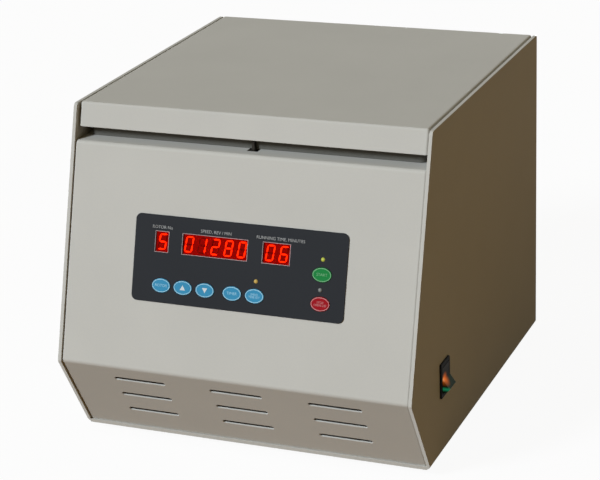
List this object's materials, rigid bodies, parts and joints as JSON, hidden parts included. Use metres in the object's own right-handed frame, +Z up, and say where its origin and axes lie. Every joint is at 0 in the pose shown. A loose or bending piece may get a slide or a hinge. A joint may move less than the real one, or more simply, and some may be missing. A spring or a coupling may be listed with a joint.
{
  "type": "cytocentrifuge",
  "caption": "Bench-top cytocentrifuge in a sheet-metal case with a hinged lid, sloped keypad front, swing-out slide carriers on a rotor, side power switch and back fan.",
  "frame": {"origin": "centre of the footprint on the bench, under the middle of the case", "axes": "+X to the operator's right, +Y to the back, +Z up"},
  "size_m": [0.3586, 0.4101, 0.3267],
  "materials": {
    "powder_coat": "fine satin powder coat",
    "stainless": "brushed",
    "zinc_steel": "zinc plated",
    "shaft_steel": "turned",
    "cast_aluminium": "as cast",
    "anodised": "anodised",
    "guard_chrome": "plated wire",
    "black_rubber": "matt",
    "dark_plastic": "fine texture",
    "grey_plastic": "vacuum formed",
    "overlay": "satin film",
    "red_filter": "clear red",
    "digit_module": "moulded face",
    "lamp": "tinted",
    "circuit_board": "solder mask",
    "blue_key": "satin",
    "green_key": "satin",
    "red_key": "satin",
    "green_rocker": "translucent",
    "slide_glass": "polished",
    "funnel_plastic": "moulded"
  },
  "bodies": {
    "case": {"case_shell": "powder_coat", "front_panel": "powder_coat", "back_panel": "powder_coat", "top_deck": "powder_coat", "feet": "black_rubber", "pan_screws": "zinc_steel", "hinge_arms": "zinc_steel", "chamber_bowl": "stainless", "shaft_boot": "black_rubber", "motor_plate": "zinc_steel", "motor_dampers": "black_rubber", "motor_housing": "cast_aluminium", "control_overlay": "overlay", "display_windows": "red_filter", "display_digits": "digit_module", "control_board": "circuit_board", "status_lamps": "lamp", "rocker_bezel": "dark_plastic", "lock_housing": "dark_plastic", "fan_frame": "dark_plastic", "fan_guard": "guard_chrome", "power_inlet": "dark_plastic", "drive_unit": "cast_aluminium"},
    "lid": {"lid_cover": "powder_coat", "lid_liner": "grey_plastic", "lid_seal": "black_rubber", "lid_hook": "zinc_steel", "hinge_lugs": "zinc_steel", "hinge_pins": "zinc_steel"},
    "rotor": {"armature_shaft": "shaft_steel", "rotor_body": "anodised", "rotor_nut": "shaft_steel"},
    "rocker": {"rocker": "green_rocker"},
    "bolt": {"lock_bolt": "zinc_steel"},
    "impeller": {"fan_impeller": "dark_plastic"},
    "carrier_1": {"slide_clip_1": "stainless", "glass_slide_1": "slide_glass", "sample_funnel_1": "funnel_plastic"},
    "carrier_2": {"slide_clip_2": "stainless", "glass_slide_2": "slide_glass", "sample_funnel_2": "funnel_plastic"},
    "carrier_3": {"slide_clip_3": "stainless", "glass_slide_3": "slide_glass", "sample_funnel_3": "funnel_plastic"},
    "carrier_4": {"slide_clip_4": "stainless", "glass_slide_4": "slide_glass", "sample_funnel_4": "funnel_plastic"},
    "carrier_5": {"slide_clip_5": "stainless", "glass_slide_5": "slide_glass", "sample_funnel_5": "funnel_plastic"},
    "carrier_6": {"slide_clip_6": "stainless", "glass_slide_6": "slide_glass", "sample_funnel_6": "funnel_plastic"},
    "key_rotor": {"key_rotor": "blue_key"},
    "key_up": {"key_up": "blue_key"},
    "key_down": {"key_down": "blue_key"},
    "key_time": {"key_time": "blue_key"},
    "key_set": {"key_set": "blue_key"},
    "key_start": {"key_start": "green_key"},
    "key_stop": {"key_stop": "red_key"}
  },
  "joints": [
    {"name": "lid_hinge", "type": "hinge", "parent": "case", "child": "lid", "pos_m": [0, 0.1945, 0.3185], "axis": [-1, 0, 0], "range_deg": [0, 75]},
    {"name": "rotor_spin", "type": "hinge", "parent": "case", "child": "rotor", "pos_m": [0, 0.02521, 0.1788], "axis": [0, 0, 1], "continuous": true},
    {"name": "power_rocker", "type": "hinge", "parent": "case", "child": "rocker", "pos_m": [0.1732, -0.1121, 0.0842], "axis": [0, 1, 0], "range_deg": [0, 36]},
    {"name": "lock_slide", "type": "slide", "parent": "case", "child": "bolt", "axis": [0, -1, 0], "range_m": [0, 0.008], "stiffness_N_per_m": 200},
    {"name": "fan_spin", "type": "hinge", "parent": "case", "child": "impeller", "pos_m": [-0.095, 0.188, 0.075], "axis": [0, 1, 0], "continuous": true},
    {"name": "carrier_swing_1", "type": "hinge", "parent": "rotor", "child": "carrier_1", "pos_m": [0.08779, 0.02521, 0.1998], "axis": [0, 1, 0], "range_deg": [0, 15]},
    {"name": "carrier_swing_2", "type": "hinge", "parent": "rotor", "child": "carrier_2", "pos_m": [0.0439, 0.10124, 0.1998], "axis": [-0.866, 0.5, 0], "range_deg": [0, 15]},
    {"name": "carrier_swing_3", "type": "hinge", "parent": "rotor", "child": "carrier_3", "pos_m": [-0.0439, 0.10124, 0.1998], "axis": [-0.866, -0.5, 0], "range_deg": [0, 15]},
    {"name": "carrier_swing_4", "type": "hinge", "parent": "rotor", "child": "carrier_4", "pos_m": [-0.08779, 0.02521, 0.1998], "axis": [0, -1, 0], "range_deg": [0, 15]},
    {"name": "carrier_swing_5", "type": "hinge", "parent": "rotor", "child": "carrier_5", "pos_m": [-0.0439, -0.05083, 0.1998], "axis": [0.866, -0.5, 0], "range_deg": [0, 15]},
    {"name": "carrier_swing_6", "type": "hinge", "parent": "rotor", "child": "carrier_6", "pos_m": [0.0439, -0.05083, 0.1998], "axis": [0.866, 0.5, 0], "range_deg": [0, 15]},
    {"name": "press_rotor", "type": "slide", "parent": "case", "child": "key_rotor", "axis": [0, 0.9563, -0.2924], "range_m": [0, 0.0008], "stiffness_N_per_m": 500},
    {"name": "press_up", "type": "slide", "parent": "case", "child": "key_up", "axis": [0, 0.9563, -0.2924], "range_m": [0, 0.0008], "stiffness_N_per_m": 500},
    {"name": "press_down", "type": "slide", "parent": "case", "child": "key_down", "axis": [0, 0.9563, -0.2924], "range_m": [0, 0.0008], "stiffness_N_per_m": 500},
    {"name": "press_time", "type": "slide", "parent": "case", "child": "key_time", "axis": [0, 0.9563, -0.2924], "range_m": [0, 0.0008], "stiffness_N_per_m": 500},
    {"name": "press_set", "type": "slide", "parent": "case", "child": "key_set", "axis": [0, 0.9563, -0.2924], "range_m": [0, 0.0008], "stiffness_N_per_m": 500},
    {"name": "press_start", "type": "slide", "parent": "case", "child": "key_start", "axis": [0, 0.9563, -0.2924], "range_m": [0, 0.0008], "stiffness_N_per_m": 500},
    {"name": "press_stop", "type": "slide", "parent": "case", "child": "key_stop", "axis": [0, 0.9563, -0.2924], "range_m": [0, 0.0008], "stiffness_N_per_m": 500}
  ]
}
